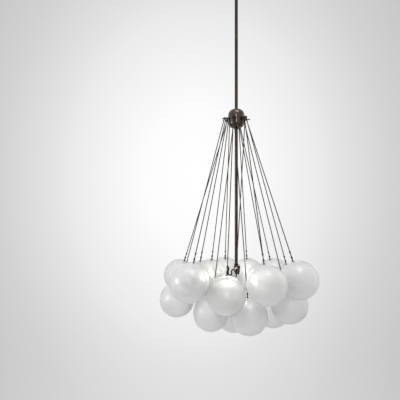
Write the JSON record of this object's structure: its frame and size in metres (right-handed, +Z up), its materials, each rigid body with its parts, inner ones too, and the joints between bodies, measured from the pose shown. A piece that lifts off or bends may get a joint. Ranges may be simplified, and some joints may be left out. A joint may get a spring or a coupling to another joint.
{
  "type": "bubble chandelier",
  "caption": "Ceiling pendant lamp: a dome-ended hub on a stem carries cords with frosted glass globes in a cloud round a cluster of lamps.",
  "frame": {"origin": "on the ceiling plane, at the middle of the bracket's two slots, on the stem's axis", "axes": "+Z up along the stem into the ceiling, +X along the bracket, -Y towards the viewer"},
  "size_m": [0.6336, 0.6386, 1.4722],
  "materials": {
    "dark_bronze": "oil-rubbed bronze",
    "frosted_glass": "frosted",
    "lamp_glass": "frosted, lit",
    "ceramic": "glazed ceramic",
    "zinc_steel": "zinc plated",
    "brass_bright": "plain",
    "white_plastic": "moulded",
    "lead_sleeve": "sleeved flex"
  },
  "bodies": {
    "frame": {"upper_stem": "dark_bronze", "hub_shell": "dark_bronze", "hub_core": "dark_bronze", "hub_cup": "dark_bronze", "hub_pegs": "dark_bronze", "hub_collar": "dark_bronze", "lower_stem": "dark_bronze", "stem_ring": "dark_bronze", "lamp_body": "dark_bronze", "lamp_arms": "dark_bronze", "lamp_cups": "dark_bronze", "foot_nut": "dark_bronze", "hanger_04": "dark_bronze", "hanger_05": "dark_bronze", "hanger_06": "dark_bronze", "hanger_11": "dark_bronze", "hanger_12": "dark_bronze", "hanger_15": "dark_bronze", "globe_04": "frosted_glass", "globe_05": "frosted_glass", "globe_06": "frosted_glass", "globe_11": "frosted_glass", "globe_12": "frosted_glass", "globe_15": "frosted_glass", "lamps": "lamp_glass", "lamp_inserts": "ceramic", "ceiling_bracket": "zinc_steel", "nipple": "zinc_steel", "nipple_nuts": "zinc_steel", "stem_coupling": "zinc_steel", "hub_grub_screw": "zinc_steel", "lamp_pins": "zinc_steel", "earth_screw": "brass_bright", "terminal_block": "white_plastic", "supply_leads": "lead_sleeve"},
    "canopy": {"canopy": "dark_bronze", "canopy_collar": "dark_bronze", "canopy_grub_screw": "zinc_steel"},
    "swing_globe_01": {"globe_01": "frosted_glass", "hanger_01": "dark_bronze"},
    "swing_globe_02": {"globe_02": "frosted_glass", "hanger_02": "dark_bronze"},
    "swing_globe_03": {"globe_03": "frosted_glass", "hanger_03": "dark_bronze"},
    "swing_globe_07": {"globe_07": "frosted_glass", "hanger_07": "dark_bronze"},
    "swing_globe_08": {"globe_08": "frosted_glass", "hanger_08": "dark_bronze"},
    "swing_globe_09": {"globe_09": "frosted_glass", "hanger_09": "dark_bronze"},
    "swing_globe_10": {"globe_10": "frosted_glass", "hanger_10": "dark_bronze"},
    "swing_globe_13": {"globe_13": "frosted_glass", "hanger_13": "dark_bronze"},
    "swing_globe_14": {"globe_14": "frosted_glass", "hanger_14": "dark_bronze"},
    "swing_globe_16": {"globe_16": "frosted_glass", "hanger_16": "dark_bronze"},
    "swing_globe_17": {"globe_17": "frosted_glass", "hanger_17": "dark_bronze"}
  },
  "joints": [
    {"name": "canopy_slide", "type": "slide", "parent": "frame", "child": "canopy", "axis": [0, 0, -1], "range_m": [0, 0.12]},
    {"name": "globe_01_swing", "type": "hinge", "parent": "frame", "child": "swing_globe_01", "pos_m": [-0.04284, -0.00911, -0.5655], "axis": [-0.682, 0.7314, 0], "range_deg": [0, 12]},
    {"name": "globe_02_swing", "type": "hinge", "parent": "frame", "child": "swing_globe_02", "pos_m": [0.02931, -0.03255, -0.5655], "axis": [-0.9205, -0.3907, 0], "range_deg": [0, 12]},
    {"name": "globe_03_swing", "type": "hinge", "parent": "frame", "child": "swing_globe_03", "pos_m": [0.03372, -0.03745, -0.5655], "axis": [-0.4695, -0.8829, 0], "range_deg": [0, 12]},
    {"name": "globe_07_swing", "type": "hinge", "parent": "frame", "child": "swing_globe_07", "pos_m": [-0.02489, 0.02764, -0.5655], "axis": [0.9945, 0.1045, 0], "range_deg": [0, 12]},
    {"name": "globe_08_swing", "type": "hinge", "parent": "frame", "child": "swing_globe_08", "pos_m": [0.01557, 0.04793, -0.5655], "axis": [0.788, -0.6157, 0], "range_deg": [0, 12]},
    {"name": "globe_09_swing", "type": "hinge", "parent": "frame", "child": "swing_globe_09", "pos_m": [-0.03372, 0.03745, -0.5655], "axis": [0.6561, 0.7547, 0], "range_deg": [0, 12]},
    {"name": "globe_10_swing", "type": "hinge", "parent": "frame", "child": "swing_globe_10", "pos_m": [0.04284, 0.00911, -0.5655], "axis": [0.3907, -0.9205, 0], "range_deg": [0, 12]},
    {"name": "globe_13_swing", "type": "hinge", "parent": "frame", "child": "swing_globe_13", "pos_m": [-0.0493, -0.01048, -0.5655], "axis": [-0.225, 0.9744, 0], "range_deg": [0, 12]},
    {"name": "globe_14_swing", "type": "hinge", "parent": "frame", "child": "swing_globe_14", "pos_m": [-0.01354, -0.04166, -0.5655], "axis": [-0.7771, -0.6293, 0], "range_deg": [0, 3]},
    {"name": "globe_16_swing", "type": "hinge", "parent": "frame", "child": "swing_globe_16", "pos_m": [0.0115, 0.03538, -0.5655], "axis": [0.9272, -0.3746, 0], "range_deg": [0, 2]},
    {"name": "globe_17_swing", "type": "hinge", "parent": "frame", "child": "swing_globe_17", "pos_m": [0.03639, 0.00773, -0.5655], "axis": [0.866, 0.5, 0], "range_deg": [0, 7]}
  ]
}
